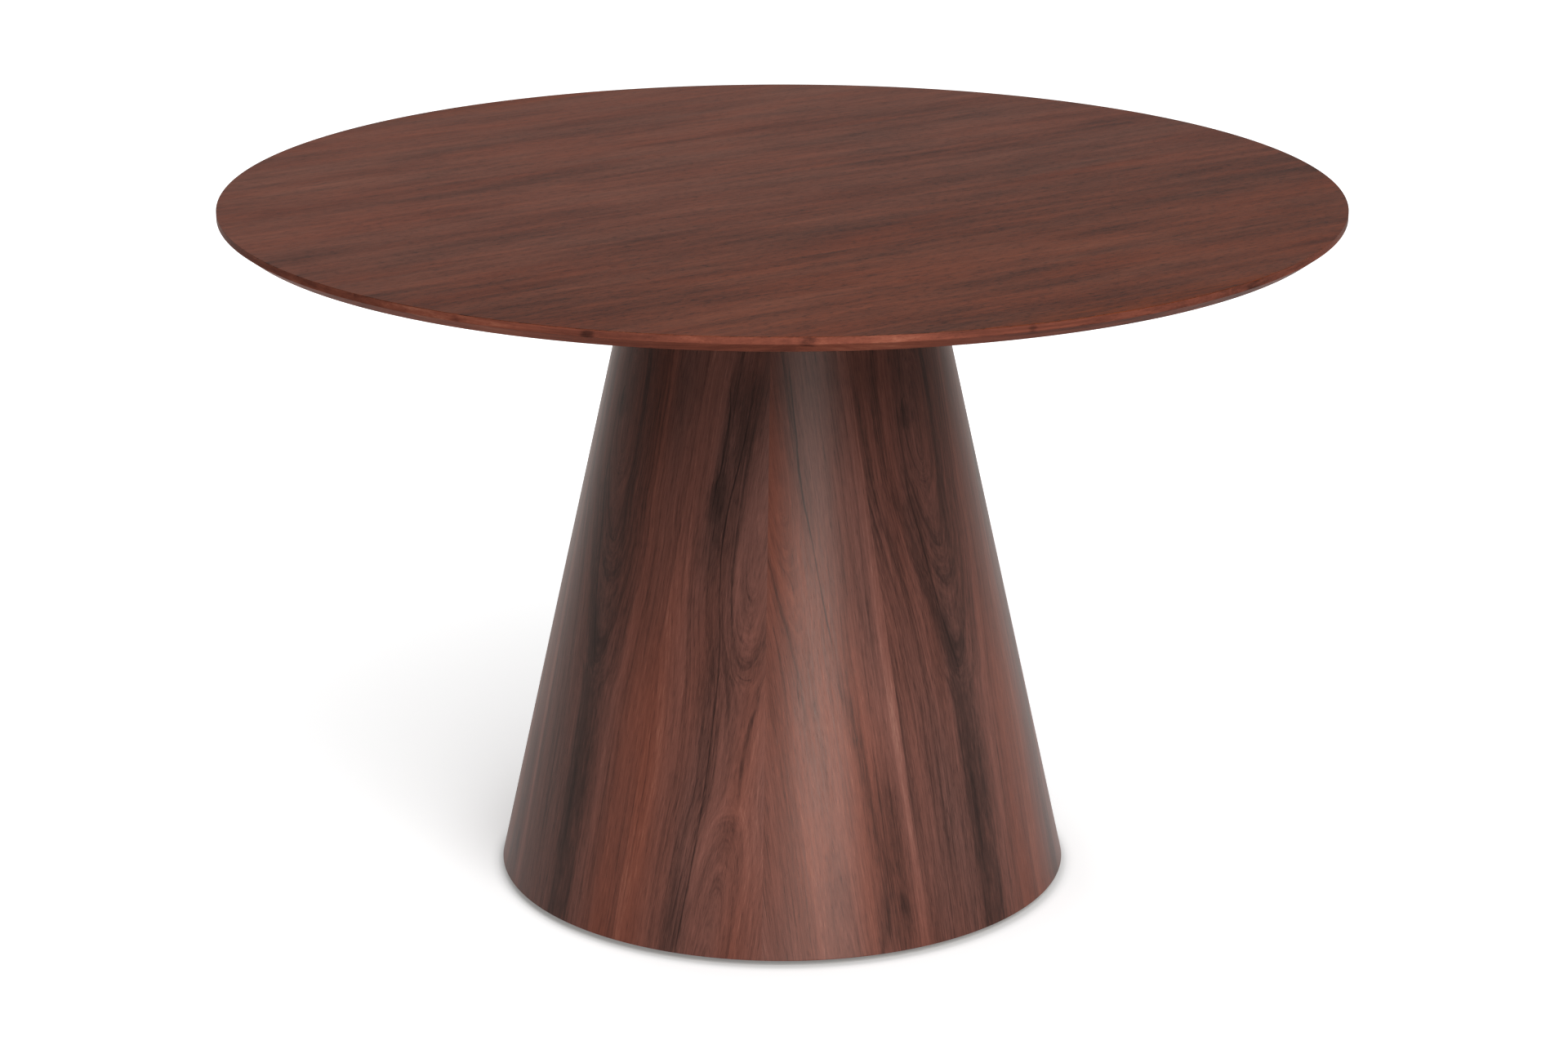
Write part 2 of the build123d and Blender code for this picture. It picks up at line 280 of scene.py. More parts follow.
class Graph:
    """Short spellings for writing a node tree."""

    def __init__(self, tree, takes=None):
        self.tree = tree
        if takes:
            self.declare("INPUT", takes)
            self.source = self.node("NodeGroupInput")

    def declare(self, side, sockets):
        for name, kind in sockets.items():
            self.tree.interface.new_socket(name, in_out=side, socket_type="NodeSocket" + kind)

    def given(self, name):
        """One of the tree's own inputs."""
        return Wire(self, self.source.outputs[name])

    def feed(self, node, inputs):
        """Sets a node's inputs, by name or number, each to a value or to the wire that leads to it."""
        for key, value in inputs.items():
            if isinstance(value, Wire):
                self.tree.links.new(value.socket, node.inputs[key])
            else:
                node.inputs[key].default_value = value

    def node(self, kind, inputs=None, **settings):
        node = self.tree.nodes.new(kind)
        for name, value in settings.items():
            setattr(node, name, value)
        self.feed(node, inputs or {})
        return node

    def wire(self, kind, inputs=None, output=0, **settings):
        """One output of a new node, by name or number."""
        return Wire(self, self.node(kind, inputs, **settings).outputs[output])

    def wires(self, kind, inputs=None, **settings):
        """All outputs of a new node, by name."""
        return {socket.name: Wire(self, socket) for socket in self.node(kind, inputs, **settings).outputs}

    def math(self, operation, *values):
        return self.wire("ShaderNodeMath", dict(enumerate(values)), operation=operation)

    def length(self, first, second):
        return self.math("SQRT", first * first + second * second)

    def split(self, vector):
        return list(self.wires("ShaderNodeSeparateXYZ", {"Vector": vector}).values())

    def join(self, x=0.0, y=0.0, z=0.0):
        return self.wire("ShaderNodeCombineXYZ", {"X": x, "Y": y, "Z": z})

    def total(self, first, second):
        return self.wire("ShaderNodeVectorMath", {0: first, 1: second}, operation="ADD")

    def here(self):
        return self.wire("ShaderNodeTexCoord", output="Object")

    def noise(self, point, scales, detail=2.0, roughness=0.5):
        """Noise drawn out along the three directions of a point, by its waves in each unit of length."""
        drawn = self.join(*(place * scale for place, scale in zip(point, scales)))
        inputs = {"Vector": drawn, "Scale": 1.0, "Detail": detail, "Roughness": roughness}
        return self.wire("ShaderNodeTexNoise", inputs)

    def span(self, value, low, high, start=0.0, end=1.0, soft=True):
        """Value carried from one range to another, held at the ends."""
        kind = "SMOOTHSTEP" if soft else "LINEAR"
        limits = {"Value": value, "From Min": low, "From Max": high, "To Min": start, "To Max": end}
        return self.wire("ShaderNodeMapRange", limits, interpolation_type=kind)

    def even(self, noise, start, end):
        """Noise carried straight from its usual range to another."""
        return self.span(noise, *USUAL, start, end, soft=False)

    def swing(self, noise, reach):
        """Noise as a change of up to a reach either way."""
        return self.even(noise, -reach, reach)

    def curve(self, value, points):
        """Value carried along a smooth line through points, held at the ends."""
        first, last = points[0][0], points[-1][0]
        low = min(y for x, y in points)
        high = max(max(y for x, y in points), low + 0.001)
        node = self.node("ShaderNodeFloatCurve", {"Value": self.span(value, first, last, soft=False)})
        line = node.mapping.curves[0]
        shares = [((x - first) / (last - first), (y - low) / (high - low)) for x, y in points]
        line.points[0].location = shares[0]
        line.points[1].location = shares[-1]
        for share in shares[1:-1]:
            line.points.new(*share)
        node.mapping.update()
        return self.span(Wire(self, node.outputs[0]), 0.0, 1.0, low, high, soft=False)

    def mix(self, share, first, second):
        return self.wire("ShaderNodeMix", {"Factor": share, "A": first, "B": second})

    def colour_mix(self, share, first, second):
        """Mix of two colours, by the numbers of the mix node's colour sockets."""
        inputs = {0: share, 6: (*first, 1.0), 7: (*second, 1.0)}
        return self.wire("ShaderNodeMix", inputs, 2, data_type="RGBA")

    def ramp(self, value, stops):
        node = self.node("ShaderNodeValToRGB", {"Fac": value})
        elements = node.color_ramp.elements
        while len(elements) < len(stops):
            elements.new(0.5)
        for element, (place, colour) in zip(elements, stops):
            element.position = place
            element.color = (*colour, 1.0)
        return Wire(self, node.outputs[0])


def settings():
    return bpy.context.scene.pedestal_table


# Shapes that follow a rule


def new_tree(name, takes):
    """Graph of a new Geometry Nodes tree that gives one geometry."""
    graph = Graph(bpy.data.node_groups.new(name, "GeometryNodeTree"), takes)
    graph.declare("OUTPUT", {"Geometry": "Geometry"})
    return graph


def turning_sheet(graph, steps, rows):
    """Grid that is bent into a round piece, with each point's share of the turn and its row."""
    inputs = {"Size X": 1.0, "Size Y": 1.0, "Vertices X": steps + 1, "Vertices Y": rows}
    sheet = graph.wire("GeometryNodeMeshGrid", inputs, "Mesh")
    x, y, _ = graph.split(graph.wire("GeometryNodeInputPosition"))
    return sheet, x + 0.5, round((y + 0.5) * (rows - 1))


def round_place(graph, radius, angle, height, shift):
    """Point at a radius, at an angle from the front and at a height, shifted."""
    away = angle.cosine() * -1.0
    return graph.total(graph.join(radius * angle.sine(), radius * away, height), shift)


def finish_tree(graph, geometry):
    """Smooth shading between creases, realized instances and the material, at the end of a tree."""
    real = graph.wire("GeometryNodeRealizeInstances", {"Geometry": geometry})
    smooth = graph.wire("GeometryNodeSetShadeSmooth", {"Geometry": real}, domain="FACE")
    bend = {0: graph.wire("GeometryNodeInputMeshEdgeAngle"), 1: CREASE}
    crease = graph.wire("FunctionNodeCompare", bend, data_type="FLOAT", operation="GREATER_THAN")
    inputs = {"Geometry": smooth, "Selection": crease, "Shade Smooth": False}
    creased = graph.wire("GeometryNodeSetShadeSmooth", inputs, domain="EDGE")
    inputs = {"Geometry": creased, "Material": graph.given("Material")}
    graph.node("NodeGroupOutput", {0: graph.wire("GeometryNodeSetMaterial", inputs)})
    return graph.tree


def turned_tree(name, unrolled):
    """Tree that turns a section about an upright axis and writes the grain's place on each point."""
    graph = new_tree(name, {
        "Section": "Object", "Closed": "Int", "Easing": "Float", "Start": "Float", "Sweep": "Float",
        "Steps": "Int", "Axis": "Vector", "Lean": "Float", "Grain shift": "Vector", "Tone": "Float",
        "Material": "Material",
    })
    section = graph.wire("GeometryNodeObjectInfo", {"Object": graph.given("Section")}, "Geometry")
    easing = graph.given("Easing") * graph.wire("GeometryNodeInputRadius")
    inputs = {"Curve": section, "Radius": easing, "Limit Radius": True, "Count": settings().easing_steps}
    outline = graph.wire("GeometryNodeFilletCurve", inputs, mode="POLY")
    count = graph.wire("GeometryNodeAttributeDomainSize", {"Geometry": outline}, component="CURVE")

    rows = count + graph.given("Closed")
    sheet, turn_share, row = turning_sheet(graph, graph.given("Steps"), rows)
    position = graph.wire("GeometryNodeInputPosition")
    inputs = {"Geometry": outline, "Value": position, "Index": row % count}
    sampled = graph.wire("GeometryNodeSampleIndex", inputs, data_type="FLOAT_VECTOR", domain="POINT")
    radius, _, height = graph.split(sampled)
    sweep = graph.given("Sweep")
    angle = graph.given("Start") + sweep * turn_share
    place = round_place(graph, radius, angle, height, graph.given("Axis"))

    from_middle = sweep * (turn_share - 0.5)
    shift = graph.given("Grain shift")
    if unrolled:
        lean = graph.given("Lean").sine()
        grain = round_place(graph, radius / lean, from_middle * lean, 0.0, shift)
    else:
        flat = graph.join(radius * from_middle.cosine(), radius * from_middle.sine(), height)
        grain = graph.total(flat, shift)

    marked = sheet
    for label, kind, value in (("grain", "FLOAT_VECTOR", grain), ("tone", "FLOAT", graph.given("Tone"))):
        inputs = {"Geometry": marked, "Name": label, "Value": value}
        marked = graph.wire("GeometryNodeStoreNamedAttribute", inputs, data_type=kind, domain="POINT")
    turned = graph.wire("GeometryNodeSetPosition", {"Geometry": marked, "Position": place})
    inputs = {"Geometry": turned, "Distance": MERGE}
    return finish_tree(graph, graph.wire("GeometryNodeMergeByDistance", inputs))


def threaded_tree(name, slot_turns):
    """Tree for a turned head, a threaded shank and the slots that are cut for the driver."""
    sizes = ("Easing", "Low", "High", "Tip", "Root", "Crest", "Pitch", "Recess height")
    graph = new_tree(name, {
        "Section": "Object", **dict.fromkeys(sizes, "Float"), "Turns": "Int", "Steps": "Int",
        "Axis": "Vector", "Recess": "Vector", "Material": "Material",
    })
    inputs = {key: graph.given(key) for key in ("Section", "Easing", "Steps", "Axis", "Material")}
    inputs.update({"Closed": 0, "Start": 0.0, "Sweep": math.tau})
    head = graph.wire("GeometryNodeGroup", inputs, node_tree=shared_tree(False))

    low, high, root = graph.given("Low"), graph.given("High"), graph.given("Root")
    rows = graph.given("Turns") * len(THREAD) + 2
    sheet, turn_share, row = turning_sheet(graph, graph.given("Steps"), rows)
    part = row % len(THREAD)
    climb = math.floor(row / len(THREAD)) + graph.curve(part, list(enumerate(THREAD))) + turn_share
    level = (climb - 1.0) * graph.given("Pitch") + low
    height = graph.math("MINIMUM", graph.math("MAXIMUM", level, low), high)
    ridge = graph.mix(part > 1.5, root, graph.given("Crest"))
    run_out = root + graph.math("MINIMUM", height - low, high - height)
    last = row > rows - 1.5
    radius = graph.mix(last, graph.math("MINIMUM", ridge, run_out), 0.0)
    height = graph.mix(last, height, graph.given("Tip"))
    place = round_place(graph, radius, turn_share * math.tau, height, graph.given("Axis"))
    shank = graph.wire("GeometryNodeSetPosition", {"Geometry": sheet, "Position": place})

    whole = graph.node("GeometryNodeJoinGeometry", {0: head})
    graph.feed(whole, {0: shank})
    inputs = {"Geometry": Wire(graph, whole.outputs[0]), "Distance": MERGE}
    solid = graph.wire("GeometryNodeMergeByDistance", inputs)
    cutter = graph.wire("GeometryNodeMeshCube", {"Size": graph.given("Recess")}, "Mesh")
    centre = graph.total(graph.given("Axis"), graph.join(z=graph.given("Recess height")))
    for turn in slot_turns:
        inputs = {"Geometry": cutter, "Translation": centre, "Rotation": (0.0, 0.0, turn)}
        inputs = {"Mesh 1": solid, "Mesh 2": graph.wire("GeometryNodeTransform", inputs)}
        solid = graph.wire("GeometryNodeMeshBoolean", inputs, "Mesh", operation="DIFFERENCE", solver="EXACT")
    return finish_tree(graph, solid)


def ring_tree(name):
    """Tree that sets copies of a piece round a circle, each stopped at its own turn."""
    graph = new_tree(name, {
        "Piece": "Object", "Count": "Int", "Circle": "Float", "Seed": "Int", "Material": "Material",
    })
    inputs = {"Vertices": graph.given("Count"), "Radius": graph.given("Circle")}
    circle = graph.wire("GeometryNodeMeshCircle", inputs)
    piece = graph.wire("GeometryNodeObjectInfo", {"Object": graph.given("Piece")}, "Geometry")
    # Inputs 2 and 3 of the random node are the limits of a plain number, and output 1 is that number
    inputs = {2: 0.0, 3: math.tau, "Seed": graph.given("Seed")}
    stop = graph.wire("FunctionNodeRandomValue", inputs, 1, data_type="FLOAT")
    turned = graph.wire("FunctionNodeEulerToRotation", {"Euler": graph.join(z=stop)})
    inputs = {"Points": circle, "Instance": piece, "Rotation": turned}
    return finish_tree(graph, graph.wire("GeometryNodeInstanceOnPoints", inputs))


def shared_tree(unrolled):
    """Tree for turned pieces, built once for plain and once for unrolled grain."""
    name = "Turned and unrolled" if unrolled else "Turned"
    return bpy.data.node_groups.get(name) or turned_tree(name, unrolled)


def new_object(name, data):
    item = bpy.data.objects.new(name, data)
    bpy.context.scene.collection.objects.link(item)
    return item


def grown_mesh(name, tree, inputs):
    """Plain mesh that a Geometry Nodes tree makes, with open ends capped and every face turned outwards."""
    holder = bpy.data.objects.new(name + "_grown", bpy.data.meshes.new(name + "_seed"))
    modifier = holder.modifiers.new("Shape", "NODES")
    modifier.node_group = tree
    for item in tree.interface.items_tree:
        if item.in_out == "INPUT" and item.name in inputs:
            modifier[item.identifier] = inputs[item.name]
    bpy.context.scene.collection.objects.link(holder)
    bpy.context.view_layer.update()
    mesh = bpy.data.meshes.new_from_object(holder.evaluated_get(bpy.context.evaluated_depsgraph_get()))
    bpy.data.objects.remove(holder)
    mesh.name = name
    shape = bmesh.new()
    shape.from_mesh(mesh)
    ends = [edge for edge in shape.edges if edge.is_boundary]
    for edge in ends:
        edge.smooth = False
    bmesh.ops.holes_fill(shape, edges=ends)
    bmesh.ops.recalc_face_normals(shape, faces=shape.faces)
    for face in shape.faces:
        face.material_index = 0
    shape.to_mesh(mesh)
    shape.free()
    mesh.materials.clear()
    mesh.materials.append(inputs["Material"])
    return mesh


def held(points, closed):
    """Section with a point added near both ends of each long stretch, so that the stretch shades evenly."""
    line = []
    for first, second in zip(points, points[1:] + points[:1]):
        line.append(first)
        length = math.dist(first[:2], second[:2])
        if length > 4 * HOLD and (closed or first is not points[-1]):
            for share in (HOLD / length, 1 - HOLD / length):
                line.append(tuple(a + (b - a) * share for a, b in zip(first[:2], second)))
    return line


def section_curve(name, points, closed):
    """Section as a curve: radius as x, height as z, and a third value, if given, as a share of the easing."""
    points = held(points, closed)
    curve = bpy.data.curves.new(name, "CURVE")
    curve.dimensions = "3D"
    line = curve.splines.new("POLY")
    line.points.add(len(points) - 1)
    for point, (radius, height, *ease_share) in zip(line.points, points):
        point.co = (radius, 0.0, height, 1.0)
        point.radius = ease_share[0] if ease_share else 1.0
    line.use_cyclic_u = closed
    return new_object(name, curve)


def sectioned_piece(name, tree, points, closed, inputs):
    """Object that a tree makes from a section, with its place in its mesh."""
    section = section_curve(name + "_section", points, closed)
    mesh = grown_mesh(name, tree, {"Section": section, **inputs})
    bpy.data.objects.remove(section)
    return new_object(name, mesh)


def turned_piece(name, points, material, closed=True, **inputs):
    """Object turned from a section, all round or over an arc."""
    values = {"Closed": int(closed), "Start": 0.0, "Sweep": math.tau, "Material": material, **inputs}
    return sectioned_piece(name, shared_tree("Lean" in inputs), points, closed, values)


def stand_for(piece, node, body):
    """Hangs a piece on the body of the CAD node that it stands for, and hides that node."""
    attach(piece, body)
    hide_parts(node)


# Finishes


def cleared(owner):
    """Graph of a material or a world, emptied."""
    owner.use_nodes = True
    owner.node_tree.nodes.clear()
    return Graph(owner.node_tree)


def finish(name, paint, *values):
    """Material of this name, made once: paint writes what feeds its surface shader."""
    material = bpy.data.materials.get(name)
    if not material:
        material = bpy.data.materials.new(name)
        graph = cleared(material)
        shader = graph.node("ShaderNodeBsdfPrincipled")
        graph.node("ShaderNodeOutputMaterial", {"Surface": Wire(graph, shader.outputs[0])})
        paint(graph, shader, *values)
    return material


def shared_group(name, takes, write, *values):
    """Shader group of this name, made once: write returns the values that it gives."""
    group = bpy.data.node_groups.get(name)
    if not group:
        group = bpy.data.node_groups.new(name, "ShaderNodeTree")
        graph = Graph(group, takes)
        results = write(graph, *values)
        graph.declare("OUTPUT", dict.fromkeys(results, "Float"))
        graph.node("NodeGroupOutput", results)
    return group


def surface(graph, shader, colour, rough, height, strength, depth):
    """Colour and roughness of a finish, and its relief with a depth in millimetres."""
    relief = graph.wire("ShaderNodeBump", {"Strength": strength, "Distance": depth * MM, "Height": height})
    graph.feed(shader, {"Base Color": colour, "Roughness": rough, "Normal": relief})


def fine_grain(graph):
    """Fibres and pores of wood, from a place with its grain along y."""
    place = graph.split(graph.given("Grain"))
    lines = graph.noise(place, (420, 13, 420), roughness=0.6)
    hairs = graph.noise(place, (1400, 60, 1400), roughness=0.65)
    ticks = graph.noise(place, (1150, 70, 1150), detail=1.0)
    pores = graph.span(ticks, 0.60, 0.72)
    return {
        "Bands": graph.noise(place, (75, 1.6, 75), detail=3.0, roughness=0.55),
        "Fibres": graph.mix(0.5, lines, hairs),
        "Pores": pores,
        "Flecks": graph.span(ticks, 0.28, 0.40, 1.0, 0.0),
        "Height": hairs * 0.4 - pores,
    }


def growth_rings(graph):
    """Dark late wood of growth rings, from a distance to the heart of the tree."""
    x, y, z = graph.split(graph.given("Grain"))
    sway = graph.noise((x, y, z), (14, 5, 1))
    shiver = graph.noise((x, y, z), (90, 30, 1))
    distance = graph.given("Distance") + (sway * 0.012 + shiver * 0.0016)
    uneven = graph.noise((distance, 0.0, 0.0), (95, 1, 1), detail=1.0)
    age = graph.math("FRACT", distance / graph.given("Spacing") + uneven * 1.6)
    late = graph.span(age, 0.35, 0.9) * graph.span(age, 0.94, 1.0, 1.0, 0.0)
    fade = graph.noise((distance, y, z), (160, 2.5, 1), detail=1.0)
    return {"Line": late * graph.span(fade, 0.36, 0.68)}


def board_tone(graph, board):
    """Tone of one board of the cone's veneer, from 0, dark, to 1, light."""
    x, y, _ = graph.split(graph.given("Board"))
    distance = graph.length(x - graph.curve(y, board["axis"]), graph.curve(y, board["depth"]))
    takes = {"Distance": "Float", "Grain": "Vector", "Spacing": "Float"}
    inputs = {"Distance": distance * MM, "Grain": graph.join(x * MM, y * MM), "Spacing": RING_SPACING}
    rings = graph.wire("ShaderNodeGroup", inputs, node_tree=shared_group("Growth rings", takes, growth_rings))

    place = (distance, y, x)
    drift = graph.noise(place, (0.055, 0.0024, 0.006), detail=3.0, roughness=0.55)
    lines = graph.noise(place, (0.33, 0.009, 0.02), detail=3.0, roughness=0.6)
    hairs = graph.noise(place, (1.05, 0.045, 0.25), roughness=0.6)
    threads = graph.noise(place, (0.45, 0.004, 0.02), roughness=0.6)
    tone = graph.curve(x, board["tone"]) + graph.swing(drift, 0.12)
    tone = tone + graph.swing(lines, 0.07) + graph.swing(hairs, 0.08)
    tone = tone - graph.span(threads, 0.54, 0.68, -0.01, 0.11) - rings * graph.curve(y, board["rings"])

    stray = graph.noise((x, y, 0.0), (0.02, 0.01, 1), detail=3.0, roughness=0.55)
    worn = graph.even(lines, 1.35, 0.55)
    for path, width, darkness in board["veins"] + board["shades"]:
        bend = graph.curve(y, path) + graph.swing(stray, 0.6 * min(width, 6.0))
        mark = graph.span(abs(x - bend), 0.1 * width, 1.5 * width, darkness, 0.0)
        low_end = graph.span(y, path[0][0] - 40, path[0][0] + 30)
        high_end = graph.span(y, path[-1][0] - 30, path[-1][0] + 40, 1.0, 0.0)
        mark = mark * (low_end * high_end)
        tone = tone - (mark * worn if width < VEIN_WIDTH else mark)
    blot = graph.noise((x, y, 0.0), (0.11, 0.04, 1))
    for centre_x, centre_y, half_width, half_height, darkness in board["knots"]:
        side = (x - centre_x) / half_width
        rise = (y - centre_y) / half_height
        size = side * side + rise * rise + graph.swing(blot, 0.7)
        tone = tone - graph.span(size, -0.4, 2.6, darkness, 0.0)
    return {"Tone": tone}


def walnut(graph, shader, tone, grain, amount, gloss, **changes):
    """Lacquered walnut: fibres and pores over a broad tone, its colour, its satin sheen and its relief."""
    look = settings()
    group = shared_group("Fine grain", {"Grain": "Vector"}, fine_grain)
    fine = graph.wires("ShaderNodeGroup", {"Grain": grain}, node_tree=group)
    fibres = graph.swing(fine["Bands"], 0.07 * amount) + graph.swing(fine["Fibres"], 0.09 * amount)
    tone = tone + fibres + fine["Flecks"] * (0.10 * amount) - fine["Pores"] * (0.14 * amount)
    stops = [(0.0, look.heart_dark), (0.25, look.vein_brown), (0.5, look.walnut), (0.72, look.walnut_red),
             (1.0, look.sap_tan)]
    colour = graph.wire("ShaderNodeHueSaturation", {"Color": graph.ramp(tone, stops), **changes})
    rough = graph.even(fine["Fibres"], look.roughness - 0.04, look.roughness + 0.05)
    surface(graph, shader, colour, rough, fine["Height"], 0.12, 0.2)
    graph.feed(shader, {"Specular IOR Level": gloss, "Specular Tint": (*look.sheen, 1.0)})


def cone_veneer(graph, shader):
    """Sheet of veneer jointed from three boards, which repeat across it."""
    grain = graph.wire("ShaderNodeAttribute", output="Vector", attribute_name="grain")
    x, y, _ = graph.split(grain)
    across = graph.math("WRAP", x / MM, 2 * BOARD_WIDTH, -BOARD_WIDTH)
    up = y / MM
    tone = None
    for number, board in enumerate(BOARDS):
        edge = BOARD_WIDTH * (number - 1)
        group = shared_group(board["name"], {"Board": "Vector"}, board_tone, board)
        own = graph.wire("ShaderNodeGroup", {"Board": graph.join(across - edge, up)}, node_tree=group)
        tone = graph.mix(across > edge, tone, own) if number else own
    warmth = graph.noise((x, y, 0.0), (9, 1.2, 1))
    walnut(graph, shader, tone, grain, 1.0, settings().gloss, Saturation=graph.even(warmth, 0.83, 1.09))


def flat_veneer(graph, shader, middle_tone, gloss):
    """Straight-grained veneer in leaves laid side by side, for the faces of the top."""
    look = settings()
    inputs = {"Vector": graph.here(), "Rotation": (0.0, 0.0, -look.top_grain)}
    along, across, _ = graph.split(graph.wire("ShaderNodeMapping", inputs))
    leaf = math.floor(across / look.leaf_width + 0.5)
    lot = graph.wire("ShaderNodeTexWhiteNoise", {"W": leaf}, "Value", noise_dimensions="1D")
    slid = along + lot * 3.0
    wander = graph.noise((across, slid, lot), (5, 1.6, 5))
    bent = across + graph.swing(wander, 0.007)

    place = (bent, slid, lot)
    patches = graph.noise(place, (17, 3.2, 9), detail=3.0, roughness=0.6)
    streaks = graph.noise(place, (100, 6, 5), detail=4.0, roughness=0.66)
    flecks = graph.noise(place, (430, 30, 5), roughness=0.6)
    strokes = graph.noise(place, (38, 5, 5), detail=4.0, roughness=0.62)
    ticks = graph.noise(place, (420, 105, 5), roughness=0.55)
    tone = graph.curve(across, LEAF_TONES) + middle_tone
    tone = tone + graph.swing(streaks, 0.075) + graph.swing(flecks, 0.055)
    tone = tone - graph.span(strokes, 0.40, 0.72, -0.025, 0.075) - graph.span(ticks, 0.52, 0.68, 0.0, 0.15)
    tone = tone - graph.span(patches, 0.36, 0.74, -0.04, 0.10)

    warmth = graph.noise(place, (14, 3, 3), detail=3.0, roughness=0.6)
    edge = abs(across) + graph.swing(streaks, 0.015)
    outer = graph.span(edge, 0.54, 0.60, 0.0, 0.10) + graph.span(across, -0.40, 0.10, 0.06, -0.02)
    changes = {"Hue": graph.even(warmth, 0.506, 0.502), "Saturation": graph.even(warmth, 1.0, 1.1) + outer}
    walnut(graph, shader, tone, graph.join(bent, slid), 0.7, gloss, **changes)


def lipping_wood(graph, shader):
    """Solid wood of the rim: straight boards cut to an arc, so the grain runs out towards each joint."""
    grain = graph.wire("ShaderNodeAttribute", output="Vector", attribute_name="grain")
    tone = graph.wire("ShaderNodeAttribute", output="Fac", attribute_name="tone")
    place = graph.split(grain)
    layers = graph.noise(place, (150, 5, 200), detail=3.0, roughness=0.6)
    clouds = graph.noise(place, (16, 7, 16))
    tone = tone + graph.swing(layers, 0.15) + graph.swing(clouds, 0.09)
    here = graph.here()
    ragged = graph.swing(layers, 0.003)
    # Marks of tone on the rim; the broad pale one at the front is a painted highlight
    for azimuth, height, size, change in RIM_MARKS_AND_HIGHLIGHT:
        turn = math.radians(azimuth)
        spot = (RIM_RADIUS * math.sin(turn), -RIM_RADIUS * math.cos(turn), height * MM)
        gap = graph.wire("ShaderNodeVectorMath", {0: here, 1: spot}, "Value", operation="DISTANCE")
        tone = tone + graph.span(gap + ragged, 0.2 * size * MM, 1.5 * size * MM, change, 0.0)
    # Painted light: the undercut bevel is a little paler than the upright face, by its height alone
    _, _, level = graph.split(here)
    upright = graph.span(level, FACE_LOW - 1.5 * MM, FACE_LOW)
    tone = tone + graph.span(upright, 0.0, 1.0, 0.02, 0.0)
    walnut(graph, shader, tone, grain, 0.7, settings().rim_gloss, Saturation=1.05)


def layered_board(graph, shader, pale, dark, ply, conical):
    """Plywood: thin plies with crossed grain, seen as lines on its edges."""
    x, y, z = graph.split(graph.here())
    level = z
    if conical:
        level = (z - CONE_LOW) * -math.tan(LEAN) + FOOT_RADIUS - graph.length(x, y)
    crossed = abs(math.floor(level / ply)) % 2.0
    long_way = graph.noise((x, y, z), (240, 9, 60), detail=3.0)
    cross_way = graph.noise((x, y, z), (9, 240, 60), detail=3.0)
    weave = graph.mix(crossed, long_way, cross_way)
    shade = graph.span(weave, *USUAL) * graph.mix(crossed, 1.0, 0.35)
    colour = graph.colour_mix(shade, pale, dark)
    surface(graph, shader, colour, graph.even(weave, 0.62, 0.78), weave, 0.15, 0.3)


def pressed_board(graph, shader, pale, dark):
    """Fibreboard: an even, faintly flecked board, raw or stained."""
    place = graph.split(graph.here())
    flecks = graph.noise(place, (700, 700, 700), detail=3.0, roughness=0.7)
    clouds = graph.noise(place, (14, 14, 14), detail=3.0)
    shade = graph.mix(0.35, graph.span(flecks, 0.32, 0.68), graph.span(clouds, *USUAL))
    colour = graph.colour_mix(shade, pale, dark)
    surface(graph, shader, colour, graph.even(flecks, 0.5, 0.68), flecks, 0.1, 0.15)
    graph.feed(shader, {"Specular IOR Level": 0.15})


def softwood(graph, shader):
    """Planed softwood with its grain upright, for the battens."""
    place = graph.split(graph.here())
    bands = graph.noise(place, (150, 150, 2), detail=3.0)
    hairs = graph.noise(place, (900, 900, 18))
    shade = graph.mix(0.4, graph.span(bands, 0.4, 0.62), graph.span(hairs, *USUAL))
    colour = graph.colour_mix(shade, srgb(214, 178, 128), srgb(168, 118, 72))
    surface(graph, shader, colour, graph.even(hairs, 0.55, 0.72), hairs, 0.15, 0.2)


def zinc_steel(graph, shader):
    """Zinc-plated steel with a faint cloudy bloom and fine scratches."""
    place = graph.split(graph.here())
    bloom = graph.noise(place, (260, 260, 260), detail=4.0, roughness=0.6)
    scratches = graph.noise(place, (5200, 500, 3000))
    colour = graph.colour_mix(bloom, srgb(196, 196, 190), srgb(158, 160, 160))
    wear = graph.span(bloom, *USUAL, 0.26, 0.42) + graph.span(scratches, 0.5, 0.75, 0.0, 0.1)
    surface(graph, shader, colour, wear, scratches, 0.08, 0.05)
    graph.feed(shader, {"Metallic": 1.0})


def pad_plastic(graph, shader):
    """Black moulded plastic with a fine spark-eroded texture."""
    place = graph.split(graph.here())
    pebble = graph.noise(place, (2200, 2200, 2200))
    scuffs = graph.noise(place, (190, 190, 190), detail=3.0)
    colour = graph.colour_mix(graph.span(scuffs, 0.35, 0.75), srgb(28, 28, 29), srgb(52, 51, 50))
    surface(graph, shader, colour, graph.even(scuffs, 0.46, 0.62), pebble, 0.25, 0.1)


def steel():
    return finish("Plated steel", zinc_steel)


def paint_node(node, material):
    """Gives a CAD node its finish."""
    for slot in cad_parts[node].material_slots:
        slot.material = material


# Settings


